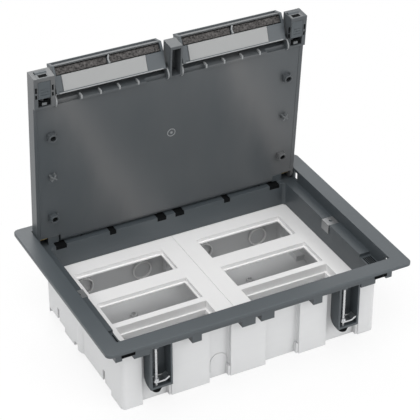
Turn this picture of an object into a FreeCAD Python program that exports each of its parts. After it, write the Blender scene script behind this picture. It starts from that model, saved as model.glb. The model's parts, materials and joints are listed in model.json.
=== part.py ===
import FreeCAD, Part
import math
import os

# Floor socket box: a screed and raised-floor outlet box with a hinged lid.
# Millimetres, +Z up, +Y towards the hinge. The origin is the centre of the base's underside.
# The lid is modelled shut and then swung open to its resting place.

# ---- flange and frame ----
flange_length = 340.0
flange_width = 240.0
flange_thickness = 3.5
flange_corner_radius = 6.0
box_depth = 94.0            # underside of the base to the top of the flange
rim_side = 17.0             # flange strip beside and before the lid
rim_back = 10.5             # flange strip behind the lid
frame_wall = 2.5
seat_depth = 14.0           # lid seat below the flange top
front_seat_drop = 3.3       # the seat lies deeper along the front
front_seat_reach = 39.0
seat_thickness = 2.5
well_length = 281.0
well_width = 174.5
well_shift = 3.75           # the well's middle lies nearer the hinge
well_depth = 41.5           # lower edge of the well walls below the flange top
well_wall = 2.2
well_corner_radius = 4.0
fit_gap = 0.3               # between parts that nest and don't move
corner_window = 7.5         # windows in the side walls of the opening
corner_window_drop = 4.0
hinge_window_drop = 12.0
window_inset_front = 2.5
window_inset_back = 16.0
window_top = 2.0
edge_round = 0.8

# ---- base ----
base_wall = 2.0
base_floor = 2.2
base_corner_radius = 5.0
recess_depth = 6.0          # recessed panels in the front wall
front_recess_places = ((-107.0, 32.0), (-36.5, 24.0), (35.0, 39.0), (106.0, 39.0))   # middle, width
foot_height = 6.0           # the side walls stand on feet
foot_notch_places = ((-21.0, 92.0), (70.5, 41.0))
foot_notch_reach = 10.0
side_slot_places = (-50.0, 66.0)
side_slot_width = 5.0
side_slot_height = 14.0
bulge_place = 7.0           # a round pilaster on each side wall
bulge_radius = 10.0
bulge_reach = 3.0
knockout_places = (-104.5, -35.5, 39.0, 107.0)
knockout_radius = 10.5
knockout_height = 18.5
knockout_rib = 1.0            # ring and groove that mark a knock-out
knockout_rib_height = 0.8
arch_place = -35.5
arch_drop = 10.5
post_size = 10.0
seat_slack = 0.1
floor_boss_radius = 4.0
floor_boss_hole = 2.2
floor_boss_height = 3.0
floor_boss_spacing_x = 140.0
floor_boss_spacing_y = 80.0

# ---- lugs that hook the frame over the base ----
lug_places = ((10.7, 14.9, 7.8), (68.2, 10.4, 7.8), (127.5, 17.0, 4.8))   # middle, width, drop
lug_slot_share = 0.72
lug_slot_drop = 4.8
lug_slot_wall = 1.2
lug_slot_reach = 11.0
corner_lug = 7.0
corner_lug_drop = 2.6

# ---- module frames ----
module_top_depth = 42.0     # top of the module frames below the flange top
module_plate = 2.0
module_skirt = 10.0
module_wall = 1.6
aperture_length = 102.0
aperture_width = 38.5
aperture_end_lip = 2.0
aperture_side_lip = 2.0
aperture_depth = 4.5
back_border = 20.8
bar_width = 19.0
front_bar_width = 7.5
pocket_depth = 9.5          # the front aperture sits deeper
collar_depth = 6.0

# ---- clamps ----
clamp_place = 106.6
clamp_width = 24.0
clamp_wall = 2.0
clamp_back_wall = 1.5
clamp_front_mouth = 104.5   # mouth of the front channels from the box's middle
clamp_back_mouth = 106.0
clamp_drop = 71.0           # underside of the channel below the flange top
clamp_floor = 2.5
screw_radius = 1.9
screw_head_radius = 3.6
screw_head_height = 2.2
screw_head_depth = 17.5     # top of the head below the flange top
screw_seat = 2.2            # thickness of the boss under the head
screw_offset = 4.5          # screw axis beside the middle of the channel
screw_inset = 4.0           # screw axis behind the channel's mouth
screw_clearance = 0.25
head_clearance = 0.3
thread_clearance = 0.05
thrust_gap = 0.05
boss_radius = 5.5
boss_drop = 4.0
claw_thickness = 1.8
claw_width = 8.6
claw_reach = 13.3
claw_lift = 4.8
claw_rest = 5.0             # claw above the channel's floor at rest

# ---- side clips ----
clip_thickness = 1.0
clip_width = 14.0
clip_place = 2.0
clip_leg = 11.0
clip_hole = 2.0
clip_end_gap = 0.6
clip_sink = 0.05
clip_slack = 0.1

# ---- lid ----
lid_gap = 0.6
lid_thickness = 13.5
lid_front_thickness = 16.8
lid_front_zone = 35.2       # depth of the thicker strip along the free edge
lid_panel = 2.5
lid_rim = 4.0
lid_rib = 1.6
lid_rib_count_x = 5
lid_rib_count_y = 3
lid_tray_depth = 6.0
plate_thickness = 2.0
hinge_inset = 7.0           # hinge axis below the outer face
rear_radius = 6.6
hinge_clearance = 1.2
open_angle = 85.5
pin_radius = 1.6
pin_clearance = 0.05
knuckle_radius = 4.0
knuckle_gap = 0.6
hinge_pocket = 23.0
hinge_cheek = 3.0
knuckle_length = 12.0
knuckle_side_gap = 1.0
lid_boss_x = 134.3
lid_boss_rows = (131.5, 30.5)
lid_boss_radius = 4.0
lid_boss_hole = 2.0
lid_boss_height = 4.0
stud_x = 134.3
stud_row = 82.5
stud_radius = 2.2
stud_height = 4.5

# ---- cable flaps ----
flap_bay = 125.3
first_bay_start = -130.0
second_bay_start = 8.6
flap_bay_row = 171.2        # inner wall of the bays, from the hinge axis
flap_axis_row = 173.2
flap_axis_depth = 3.2
flap_depth = 14.8
flap_edge_step = 1.5
flap_taper = 1.5            # keeps the free edge inside its swing
flap_skin = 2.2
flap_wall = 2.0
flap_cheek = 2.6
flap_wall_row = 173.8
flap_gap = 0.3
flap_shoulder = 8.0
label_seat = 1.6
flap_side_gap = 0.5
flap_open_angle = 24.0
flap_groove = 2.8
hub_radius = 1.6
trunnion_radius = 1.0
ear_radius = 6.5
ear_thickness = 2.6
ear_cover = 0.8
label_row = 175.8
label_height = 16.2
label_thickness = 1.0
label_margin = 8.0
blank_length = 20.0
bay_rib_pitch = 20.7
bay_rib_count = 4
bay_rib_offset = -3.4
bay_rib_width = 1.6
bay_rib_height = 2.2
bay_rib_depth = 6.0
bay_end_notch = 24.0
bay_notch_depth = 4.0

# ---- latches ----
latch_place = 141.3
latch_width = 13.0
latch_plate = 2.5
latch_row = 180.0
latch_top_row = 199.5
latch_reach = 1.2
latch_travel = 3.0
tongue_width = 12.0
tongue_thickness = 5.0
tongue_depth = 4.0          # below the lid's outer face
tongue_slope = 1.6
latch_window = 15.0
latch_window_height = 6.5
latch_slot_width = 2.0
latch_slot_margin = 1.0
spring_radius = 2.0
spring_wire = 0.45
spring_turns = 5

# ---- middle pocket between the flaps ----
mid_pocket_margin = 1.8
mid_pocket_rows = (169.5, 200.5)
mid_pocket_floor = 3.0

# ---- places that follow from the sizes ----
top = box_depth
half_length = flange_length / 2
half_width = flange_width / 2
opening_x = half_length - rim_side
opening_front = -half_width + rim_side
opening_back = half_width - rim_back
seat_top = top - seat_depth
seat_under = seat_top - seat_thickness
front_seat_top = seat_top - front_seat_drop
front_seat_under = front_seat_top - seat_thickness
well_x = well_length / 2
well_front = well_shift - well_width / 2
well_back = well_shift + well_width / 2
well_under = top - well_depth
base_x = well_x + well_wall + fit_gap + base_wall
base_top = front_seat_under - fit_gap
base_front = well_front - well_wall - fit_gap - base_wall - recess_depth
base_back = well_back + well_wall + fit_gap + base_wall
recess_face = -base_front - recess_depth
module_top = top - module_top_depth
module_under = module_top - module_skirt
module_front = -recess_face + base_wall + seat_slack * 4
module_back = base_back - base_wall - fit_gap - seat_slack
hinge_y = opening_back - hinge_clearance - hinge_inset
hinge_z = top - hinge_inset
lid_x = opening_x - lid_gap
lid_front = opening_front + lid_gap
lid_inner = top - lid_thickness
lid_front_inner = top - lid_front_thickness
flap_length = flap_bay - 2 * (ear_thickness + flap_side_gap)


def box(x0, x1, y0, y1, z0, z1):
    """A block between two corners, in any order."""
    low = FreeCAD.Vector(min(x0, x1), min(y0, y1), min(z0, z1))
    return Part.makeBox(abs(x1 - x0), abs(y1 - y0), abs(z1 - z0), low)


def rounded_block(half_x, y0, y1, z0, z1, radius):
    """A block centred on X with rounded upright edges."""
    block = box(-half_x, half_x, y0, y1, z0, z1)
    upright = [e for e in block.Edges if abs(e.Vertexes[0].Z - e.Vertexes[1].Z) > abs(z1 - z0) / 2]
    return block.makeFillet(radius, upright)


def upright_rod(x, y, z0, z1, radius):
    return Part.makeCylinder(radius, z1 - z0, FreeCAD.Vector(x, y, z0))


def cross_rod(x0, x1, y, z, radius):
    return Part.makeCylinder(radius, x1 - x0, FreeCAD.Vector(x0, y, z), FreeCAD.Vector(1, 0, 0))


def wall_rod(x, y0, y1, z, radius):
    return Part.makeCylinder(radius, y1 - y0, FreeCAD.Vector(x, y0, z), FreeCAD.Vector(0, 1, 0))


def side_profile(x0, x1, points):
    """A prism along X from a closed outline of (Y, Z) points."""
    corners = [FreeCAD.Vector(x0, y, z) for y, z in points]
    face = Part.Face(Part.makePolygon(corners + corners[:1]))
    return face.extrude(FreeCAD.Vector(x1 - x0, 0, 0))


def turned(shape, degrees, y, z):
    """A copy swung about the X-parallel axis through (y, z)."""
    copy = shape.copy()
    copy.rotate(FreeCAD.Vector(0, y, z), FreeCAD.Vector(1, 0, 0), degrees)
    return copy


def turned_round(shape):
    """A copy turned half a turn about the box's upright middle axis."""
    copy = shape.copy()
    copy.rotate(FreeCAD.Vector(0, 0, 0), FreeCAD.Vector(0, 0, 1), 180)
    return copy


def row_y(row):
    """Y of a line that far from the hinge axis on the shut lid."""
    return hinge_y - row


# ---------------------------------------------------------------- frame
def screw_place(side, mouth):
    """Axis of a clamp screw in a channel of the front wall."""
    return side * clamp_place - screw_offset, -mouth + screw_inset


def clamp_channel(side, mouth, back, high):
    """An upright channel, open to the outside, that holds a clamp screw and its claw."""
    middle = side * clamp_place
    low = top - clamp_drop
    half = clamp_width / 2
    screw_x, screw_y = screw_place(side, mouth)
    channel = box(middle - half, middle + half, -mouth, -back, low, high)
    foot = [e for e in channel.Edges if e.CenterOfMass.z < low + 0.1 and abs(e.CenterOfMass.y + back) < 0.1]
    channel = channel.makeFillet((mouth - back) * 0.6, foot)
    inside = half - clamp_wall
    hollow = box(middle - inside, middle + inside, -mouth - 1, -back - clamp_back_wall, low + clamp_floor, high)
    seat_low = top - screw_head_depth - screw_head_height - screw_seat
    seat = upright_rod(screw_x, screw_y, seat_low, high, screw_inset)
    nose = Part.makeCone(boss_radius * 0.7, boss_radius, boss_drop,
                         FreeCAD.Vector(screw_x, screw_y, low - boss_drop))
    nose = nose.common(box(middle - half, middle + half, -mouth, -back, low - boss_drop, low))
    return channel.cut(hollow).fuse([seat, nose])


def clamp_cutters(side, mouth):
    """What the screw and its head take out of the frame."""
    screw_x, screw_y = screw_place(side, mouth)
    low = top - clamp_drop - boss_drop - 1
    head_seat = top - screw_head_depth - screw_head_height - thrust_gap
    return [upright_rod(screw_x, screw_y, low, seat_top + 1, screw_radius + screw_clearance),
            upright_rod(screw_x, screw_y, head_seat, seat_top + 1, screw_head_radius + head_clearance)]


def lugs_along(outer, inner):
    """Lugs under the lid seat that reach down outside the base wall."""
    lugs = []
    for place, width, drop in lug_places:
        for side in (-1, 1):
            lugs.append(box(side * place - width / 2, side * place + width / 2, -outer, -inner,
                            front_seat_under - drop, front_seat_under))
    for side in (-1, 1):
        edge = side * (opening_x + frame_wall)
        lugs.append(box(edge, edge - side * corner_lug, -outer, -outer + corner_lug,
                        front_seat_under - corner_lug_drop, front_seat_under))
    return lugs


def lug_slots():
    """Slots through the lid seat and the top of the well wall, along the hinge side."""
    slots = []
    for place, width, drop in lug_places:
        half = width * lug_slot_share / 2
        for side in (-1, 1):
            slots.append(box(side * place - half, side * place + half, well_back - 1, well_back + lug_slot_reach,
                             seat_top - lug_slot_drop, seat_top + 1))
    return slots


def lug_slot_pockets():
    """Closed pockets under the lid seat that the slots run into."""
    pockets = []
    for place, width, drop in lug_places:
        half = width * lug_slot_share / 2 + lug_slot_wall
        for side in (-1, 1):
            pockets.append(box(side * place - half, side * place + half, well_back,
                               well_back + lug_slot_reach + lug_slot_wall, front_seat_under, seat_under))
    return pockets


def clip_pocket(side):
    half = clip_width / 2 + clip_slack
    return box(side * (well_x - 1), side * opening_x, clip_place - half, clip_place + half,
               seat_top - clip_sink - clip_thickness, seat_top + 1)


def side_windows(side):
    """Windows in a side wall of the opening, one near each end."""
    wall = side * opening_x
    out = side * (opening_x + frame_wall + 1)
    high = top - flange_thickness
    front = opening_front + window_inset_front
    back = opening_back - window_inset_back
    return [box(wall - side, out, front, front + corner_window, high - corner_window_drop, high),
            box(wall - side, out, back - corner_window, back, seat_top + 0.5, high)]


def hinge_pocket_span(side):
    """X range of the pocket in the lid that the frame's knuckle stands in."""
    outer = lid_x - hinge_cheek
    return (-outer, -outer + hinge_pocket) if side < 0 else (outer - hinge_pocket, outer)


def knuckle_span(side):
    inner, outer = hinge_pocket_span(side)
    start = inner + knuckle_side_gap
    if side < 0:
        start = outer - knuckle_side_gap - knuckle_length
    return start, start + knuckle_length


def knuckle(side):
    """A hinge eye on a web that stands on the lid seat."""
    x0, x1 = knuckle_span(side)
    eye = cross_rod(x0, x1, hinge_y, hinge_z, knuckle_radius)
    web = box(x0, x1, hinge_y - knuckle_radius, hinge_y + knuckle_radius, seat_under, hinge_z)
    return eye.fuse(web)


def frame():
    flange = rounded_block(half_length, -half_width, half_width, top - flange_thickness, top, flange_corner_radius)
    rim = [e for e in flange.Edges if min(v.Z for v in e.Vertexes) > top - 0.01]
    flange = flange.makeFillet(edge_round, rim)
    outer_x = opening_x + frame_wall
    outer_front = opening_front - frame_wall
    outer_back = opening_back + frame_wall
    tub = box(-outer_x, outer_x, outer_front, outer_back, front_seat_under, top - flange_thickness)
    tub = tub.cut(box(-opening_x, opening_x, opening_front + front_seat_reach, opening_back,
                      front_seat_under - 1, seat_under))
    well = rounded_tube(well_wall)
    body = flange.fuse([tub, well])
    body = body.cut(box(-opening_x, opening_x, opening_front, opening_back, seat_top, top + 1))
    body = body.cut(box(-opening_x, opening_x, opening_front, opening_front + front_seat_reach - seat_thickness,
                        front_seat_top, top + 1))
    body = body.cut(well_opening())
    additions = lugs_along(-outer_front, -base_front + fit_gap)
    additions += [turned_round(lug) for lug in lugs_along(outer_back, base_back + fit_gap)]
    additions += lug_slot_pockets()
    cutters = lug_slots()
    for side in (-1, 1):
        front_channel = clamp_channel(side, clamp_front_mouth, recess_face + fit_gap, front_seat_under)
        back_channel = clamp_channel(side, clamp_back_mouth, base_back + fit_gap, seat_under)
        additions += [front_channel, turned_round(back_channel), knuckle(side)]
        cutters += clamp_cutters(side, clamp_front_mouth)
        cutters += [turned_round(cutter) for cutter in clamp_cutters(side, clamp_back_mouth)]
        cutters.append(latch_window_cutter(side))
        cutters += side_windows(side)
        cutters.append(clip_pocket(side))
        start, end = knuckle_span(side)
        cutters.append(cross_rod(start - 1, end + 1, hinge_y, hinge_z, pin_radius))
    body = body.fuse(additions)
    body = body.cut(cutters)
    return body.removeSplitter()


def well_opening():
    return rounded_block(well_x, well_front, well_back, well_under - 1, top, well_corner_radius)


def rounded_tube(grow):
    """The well's upright prism, grown outwards by a wall."""
    half = well_length / 2 + grow
    return rounded_block(half, well_front - grow, well_back + grow, well_under, seat_under,
                         well_corner_radius + grow)


def latch_window_cutter(side):
    """A window in the front wall that the latch tongue snaps into."""
    middle = side * latch_place
    high = top - flange_thickness
    return box(middle - latch_window / 2, middle + latch_window / 2, opening_front - frame_wall - 1,
               opening_front + 0.01, high - latch_window_height, high)


# ---------------------------------------------------------------- base
def recess_blocks(grow):
    """The front wall's recessed panels, grown by a wall for the inside."""
    blocks = []
    for place, width in front_recess_places:
        half = width / 2 + grow
        panel = box(place - half, place + half, base_front - 1, base_front + recess_depth + grow, -1, base_top + 2)
        inner = [e for e in panel.Edges if abs(e.Vertexes[0].Z - e.Vertexes[1].Z) > 9
                 and e.CenterOfMass.y > base_front]
        blocks.append(panel.makeFillet(1.5, inner))
    return blocks


def foot_notches():
    """Notches along the foot of both side walls."""
    notches = []
    for place, width in foot_notch_places:
        for side in (-1, 1):
            notches.append(box(side * (base_x + 1), side * (base_x - foot_notch_reach), place - width / 2,
                               place + width / 2, -1, foot_height))
    return notches


def foot_lift():
    """The floor lifted over the notches of the side walls."""
    lifts = []
    for place, width in foot_notch_places:
        half = width / 2 + base_wall
        for side in (-1, 1):
            lifts.append(box(side * (base_x - 1), side * (base_x - foot_notch_reach - base_wall), place - half,
                             place + half, base_floor, foot_height + base_floor))
    return lifts


def arch(radius, y0, y1):
    """A door-shaped block: a half round on a straight-sided foot."""
    low = knockout_height - arch_drop
    foot = box(arch_place - radius, arch_place + radius, y0, y1, low, knockout_height)
    return wall_rod(arch_place, y0, y1, knockout_height, radius).fuse(foot)


def knockout_rings():
    """Raised rings round the conduit knock-outs, on the inside of the hinge wall."""
    inner = base_back - base_wall
    rings = []
    for place in knockout_places:
        ring = wall_rod(place, inner - knockout_rib_height, inner + 1, knockout_height, knockout_radius)
        rings.append(ring.cut(wall_rod(place, inner - 2, inner + 2, knockout_height,
                                       knockout_radius - knockout_rib)))
    return rings


def arch_groove():
    """The groove round the door-shaped knock-out of the front wall."""
    face = base_front + recess_depth
    outline = arch(knockout_radius, face - 1, face + knockout_rib_height)
    return outline.cut(arch(knockout_radius - knockout_rib, face - 2, face + 2))


def side_details(side):
    """The round pilaster of a side wall, and the slots cut in that wall."""
    middle = side * (base_x + bulge_reach - bulge_radius)
    bulge = upright_rod(middle, bulge_place, foot_height, base_top, bulge_radius)
    bulge = bulge.common(box(side * (base_x - base_wall), side * (base_x + bulge_radius), bulge_place - bulge_radius,
                             bulge_place + bulge_radius, 0, base_top))
    slots = [box(side * (base_x - base_wall - 1), side * (base_x + 1), place - side_slot_width / 2,
                 place + side_slot_width / 2, foot_height, foot_height + side_slot_height)
             for place in side_slot_places]
    return bulge, slots


def posts():
    """Posts along the walls that carry the module frames."""
    inner_x = base_x - base_wall
    back = base_back - base_wall
    front = base_front + base_wall
    high = module_under - seat_slack
    found = []
    for side in (-1, 1):
        found.append(box(side * inner_x, side * (inner_x - post_size), back, back - post_size, base_floor, high))
        found.append(box(side * inner_x, side * (inner_x - post_size), front, front + post_size, base_floor, high))
    found.append(box(-post_size, post_size, back, back - post_size, base_floor, high))
    found.append(box(-post_size, post_size, front, front + post_size * 1.5, base_floor, high))
    return found


def floor_boss_places():
    half_x = floor_boss_spacing_x / 2
    half_y = floor_boss_spacing_y / 2
    return [(x, y) for x in (-half_x, half_x) for y in (-half_y, half_y)]


def base_box():
    outer = rounded_block(base_x, base_front, base_back, 0, base_top, base_corner_radius)
    inner = rounded_block(base_x - base_wall, base_front + base_wall, base_back - base_wall, base_floor,
                          base_top + 1, base_corner_radius - base_wall)
    inner = inner.cut(recess_blocks(base_wall))
    body = outer.cut([inner] + recess_blocks(0))
    additions = posts() + knockout_rings() + [lift.common(inner) for lift in foot_lift()]
    cutters = foot_notches() + [arch_groove()]
    boss_top = base_floor + floor_boss_height
    for x, y in floor_boss_places():
        additions.append(upright_rod(x, y, base_floor - 1, boss_top, floor_boss_radius))
        cutters.append(upright_rod(x, y, -1, boss_top + 1, floor_boss_hole))
    for side in (-1, 1):
        bulge, slots = side_details(side)
        additions.append(bulge)
        cutters += slots
    return body.fuse(additions).cut(cutters).removeSplitter()


# ---------------------------------------------------------------- module frames
def aperture_rows():
    """Near and far edge of each recess, and its depth."""
    far = module_back - back_border
    rows = [(far - aperture_width, far, aperture_depth)]
    for bar, depth in ((bar_width, aperture_depth), (front_bar_width, pocket_depth)):
        far = rows[-1][0] - bar
        rows.append((far - aperture_width, far, depth))
    return rows


def module_frame(side):
    """A moulded frame with three recessed module apertures; it fills half of the base."""
    outer = base_x - base_wall - fit_gap
    x0, x1 = sorted((side * outer, side * fit_gap / 2))
    middle = (x0 + x1) / 2
    half = aperture_length / 2
    body = box(x0, x1, module_front, module_back, module_under, module_top)
    corners = [e for e in body.Edges if abs(e.CenterOfMass.x - side * outer) < 0.1
               and abs(e.Vertexes[0].Z - e.Vertexes[1].Z) > 1]
    body = body.makeFillet(base_corner_radius - base_wall, corners)
    body = body.cut(box(x0 + module_wall, x1 - module_wall, module_front + module_wall, module_back - module_wall,
                        module_under - 1, module_top - module_plate))
    pans = []
    recesses = []
    for near, far, depth in aperture_rows():
        floor = module_top - depth
        pans.append(box(middle - half - module_wall, middle + half + module_wall, near - module_wall,
                        far + module_wall, floor - module_wall, module_top - module_plate / 2))
        recesses.append(box(middle - half, middle + half, near, far, floor, module_top + 1))
        hole_half = half - aperture_end_lip
        hole_near = near + aperture_side_lip
        hole_far = far - aperture_side_lip
        if depth == pocket_depth:
            pans.append(box(middle - hole_half - module_wall, middle + hole_half + module_wall,
                            hole_near - module_wall, hole_far + module_wall, floor - collar_depth, floor))
        recesses.append(box(middle - hole_half, middle + hole_half, hole_near, hole_far, module_under - 20,
                            floor + 1))
    return body.fuse(pans).cut(recesses).removeSplitter()


# ---------------------------------------------------------------- clamps and clips
def clamp_screw(side, mouth):
    """A slotted screw that hangs in its boss and runs to the channel's nose."""
    x, y = screw_place(side, mouth)
    head_top = top - screw_head_depth
    head_low = head_top - screw_head_height
    shank = upright_rod(x, y, top - clamp_drop - boss_drop, head_low, screw_radius)
    head = upright_rod(x, y, head_low, head_top, screw_head_radius)
    slot = box(x - screw_head_radius, x + screw_head_radius, y - 0.5, y + 0.5, head_top - 1, head_top + 1)
    return shank.fuse(head).cut(slot)


def clamp_claw(side, mouth):
    """A bent plate threaded on the screw; its far end turns up under the floor."""
    x, y = screw_place(side, mouth)
    low = top - clamp_drop + clamp_floor + claw_rest
    half = claw_width / 2
    tip = x + claw_reach
    bend = tip - claw_lift
    points = ((x, low), (bend, low), (tip, low + claw_lift - claw_thickness), (tip - claw_thickness * 0.5, low + claw_lift),
              (bend - claw_thickness * 0.3, low + claw_thickness), (x, low + claw_thickness))
    corners = [FreeCAD.Vector(px, y - half, pz) for px, pz in points]
    plate = Part.Face(Part.makePolygon(corners + corners[:1])).extrude(FreeCAD.Vector(0, claw_width, 0))
    hub = upright_rod(x, y, low, low + claw_thickness, half)
    collar = upright_rod(x, y, low, low + claw_thickness * 2, half * 0.75)
    return plate.fuse([hub, collar]).cut(upright_rod(x, y, low - 1, low + claw_lift, screw_radius + thread_clearance))


def side_clip(side):
    """A bent sheet clip, let into the lid seat and folded down over its inner edge."""
    y0 = clip_place - clip_width / 2
    y1 = clip_place + clip_width / 2
    edge = side * well_x
    end = side * (opening_x - clip_end_gap)
    high = seat_top - clip_sink
    low = high - clip_thickness
    plate = box(edge, end, y0, y1, low, high)
    plate = plate.cut(upright_rod((edge + end) / 2, clip_place, low - 1, high + 1, clip_hole))
    leg = box(edge - side * clip_thickness, edge, y0, y1, high - clip_leg, high)
    return plate.fuse(leg).removeSplitter()


# ---------------------------------------------------------------- lid
def flap_bays():
    return ((first_bay_start, first_bay_start + flap_bay), (second_bay_start, second_bay_start + flap_bay))


def flap_middle(index):
    start, end = flap_bays()[index]
    return (start + end) / 2


def flap_axis():
    return row_y(flap_axis_row), top - flap_axis_depth


def ear(x0, x1):
    """A rounded ear on the lid that carries one trunnion of a flap."""
    axis_y, axis_z = flap_axis()
    lobe_z = lid_front_inner + ear_radius
    plate = box(x0, x1, axis_y - ear_radius * 0.6, row_y(flap_bay_row) + 1, lobe_z, top - ear_cover)
    lobe = cross_rod(x0, x1, row_y(flap_bay_row), lobe_z, ear_radius)
    return plate.fuse(lobe)


def lid_blank():
    body = box(-lid_x, lid_x, lid_front, hinge_y, lid_inner, top)
    strip = box(-lid_x, lid_x, lid_front, lid_front + lid_front_zone, lid_front_inner, top)
    return body.fuse([lid_rear(), strip])


def lid_rear():
    """The rounded edge behind the hinge axis; it turns inside its own radius."""
    upper = FreeCAD.Vector(-lid_x, hinge_y, top)
    back = FreeCAD.Vector(-lid_x, hinge_y + rear_radius, hinge_z)
    lower = FreeCAD.Vector(-lid_x, hinge_y, lid_inner)
    slope = math.sqrt(0.5)
    shoulder = FreeCAD.Vector(-lid_x, hinge_y + rear_radius * slope, hinge_z + hinge_inset * slope)
    heel_drop = hinge_z - lid_inner
    heel = FreeCAD.Vector(-lid_x, hinge_y + rear_radius * slope, hinge_z - heel_drop * slope)
    outline = [Part.Arc(upper, shoulder, back).toShape(), Part.Arc(back, heel, lower).toShape(),
               Part.makeLine(lower, upper)]
    return Part.Face(Part.Wire(outline)).extrude(FreeCAD.Vector(2 * lid_x, 0, 0))


def lid_tray_cutter():
    """The tray for the floor covering, and the ribbed space under the steel plate."""
    y0 = lid_front + lid_front_zone + 2
    y1 = hinge_y - hinge_inset
    half = lid_x - lid_rim
    ledge = lid_rim
    tray = box(-half, half, y0, y1, top - lid_tray_depth, top + 1)
    under = box(-half + ledge, half - ledge, y0 + ledge, y1 - ledge, lid_inner + lid_panel, top - lid_tray_depth + 1)
    ribs = []
    for index in range(1, lid_rib_count_x + 1):
        x = -half + index * 2 * half / (lid_rib_count_x + 1)
        ribs.append(box(x - lid_rib / 2, x + lid_rib / 2, y0, y1, lid_inner, top - lid_tray_depth))
    for index in range(1, lid_rib_count_y + 1):
        y = y0 + index * (y1 - y0) / (lid_rib_count_y + 1)
        ribs.append(box(-half, half, y - lid_rib / 2, y + lid_rib / 2, lid_inner, top - lid_tray_depth))
    for x, y in lid_boss_places():
        ribs.append(upright_rod(x, y, lid_inner, top - lid_tray_depth, lid_boss_radius))
    return tray, under.cut(ribs)


def lid_boss_places():
    return [(side * lid_boss_x, row_y(row)) for side in (-1, 1) for row in lid_boss_rows]


def bay_cutters(index):
    """The cut-out of one flap in the lid's free edge, its end recesses and the groove along its hinge."""
    start, end = flap_bays()[index]
    edge = row_y(flap_bay_row)
    groove = side_profile(start, end, ((edge - 1, top - flap_axis_depth), (edge, top - flap_axis_depth),
                                       (edge + flap_groove, top), (edge + flap_groove, top + 1), (edge - 1, top + 1)))
    cutters = [box(start, end, lid_front - 1, edge, lid_front_inner - 1, top + 1), groove]
    for side, place in ((1, start + ear_thickness), (-1, end - ear_thickness)):
        cutters.append(box(place, place + side * bay_end_notch, edge - 1, edge + bay_notch_depth,
                           lid_front_inner - 1, lid_inner + lid_panel))
    return cutters


def bay_additions(index):
    """The ears at both ends of a bay and the ribs on its inner wall."""
    start, end = flap_bays()[index]
    pieces = [ear(start, start + ear_thickness), ear(end - ear_thickness, end)]
    edge = row_y(flap_bay_row)
    middle = flap_middle(index) + bay_rib_offset
    for count in range(bay_rib_count):
        x = middle + (count - (bay_rib_count - 1) / 2) * bay_rib_pitch
        pieces.append(box(x - bay_rib_width / 2, x + bay_rib_width / 2, edge - bay_rib_height, edge + 1,
                          lid_front_inner, lid_front_inner + bay_rib_depth))
    return pieces


def latch_cutters(side):
    """The guide of a latch in its corner of the lid, its spring pocket and side slots."""
    middle = side * latch_place
    slack = fit_gap
    stop = row_y(latch_row - latch_travel - slack)
    tongue_top = top - tongue_depth
    tongue_low = tongue_top - tongue_thickness
    plate_floor = lid_front_inner + latch_plate + slack
    half = latch_width / 2 + slack
    cutters = [
        box(middle - tongue_width / 2 - slack, middle + tongue_width / 2 + slack, lid_front - 1, stop,
            tongue_low - slack, tongue_top + slack),
        box(middle - half, middle + half, row_y(latch_top_row + slack), stop, lid_front_inner - 1, plate_floor),
        box(middle - tongue_width / 2 - slack, middle + tongue_width / 2 + slack, row_y(latch_top_row + slack), stop,
            lid_front_inner - 1, tongue_low + 1),
        box(middle - half, middle + half, stop - 0.01, row_y(latch_row - 9.5), lid_front_inner - 1, tongue_top)]
    for edge in (-1, 1):
        x0 = middle + edge * (half + latch_slot_margin)
        x1 = x0 + edge * latch_slot_width
        cutters.append(box(x0, x1, row_y(194), row_y(187.5), lid_front_inner - 1, lid_inner + 1))
        cutters.append(box(x0, x1, row_y(185.5), row_y(181), lid_front_inner - 1, lid_inner + 1))
    return cutters


def latch(side):
    """A spring latch: face plate, web and the tongue that snaps under the flange."""
    middle = side * latch_place
    tongue_top = top - tongue_depth
    tongue_low = tongue_top - tongue_thickness
    plate = box(middle - latch_width / 2, middle + latch_width / 2, row_y(latch_top_row), row_y(latch_row),
                lid_front_inner, lid_front_inner + latch_plate)
    web = box(middle - tongue_width / 2, middle + tongue_width / 2, row_y(latch_top_row), row_y(latch_row),
              lid_front_inner + latch_plate, tongue_low)
    tip = lid_front - latch_reach
    outline = ((tip + tongue_slope, tongue_low), (tip, tongue_low + tongue_slope), (tip, tongue_top),
               (row_y(latch_row), tongue_top), (row_y(latch_row), tongue_low))
    tongue = side_profile(middle - tongue_width / 2, middle + tongue_width / 2, outline)
    body = plate.fuse([web, tongue]).removeSplitter()
    grips = [box(middle - 4, middle + 4, row_y(row + 0.6), row_y(row), lid_front_inner - 0.01, lid_front_inner + 0.5)
             for row in (184, 187, 190)]
    return body.cut(grips)


def latch_spring(side):
    """A small compression spring behind the latch."""
    middle = side * latch_place
    height = top - tongue_depth - tongue_thickness / 2 - 1.5
    start = row_y(latch_row - 9.5)
    length = 9.5 - 2 * spring_wire - 0.2
    helix = Part.makeHelix(length / spring_turns, length, spring_radius)
    section = Part.makeCircle(spring_wire, FreeCAD.Vector(spring_radius, 0, 0), FreeCAD.Vector(0, 1, 0))
    coil = Part.Wire(helix).makePipeShell([Part.Wire(section)], True, True)
    coil.rotate(FreeCAD.Vector(0, 0, 0), FreeCAD.Vector(1, 0, 0), 90)
    coil.translate(FreeCAD.Vector(middle, start - spring_wire - 0.1, height))
    return coil


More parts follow.
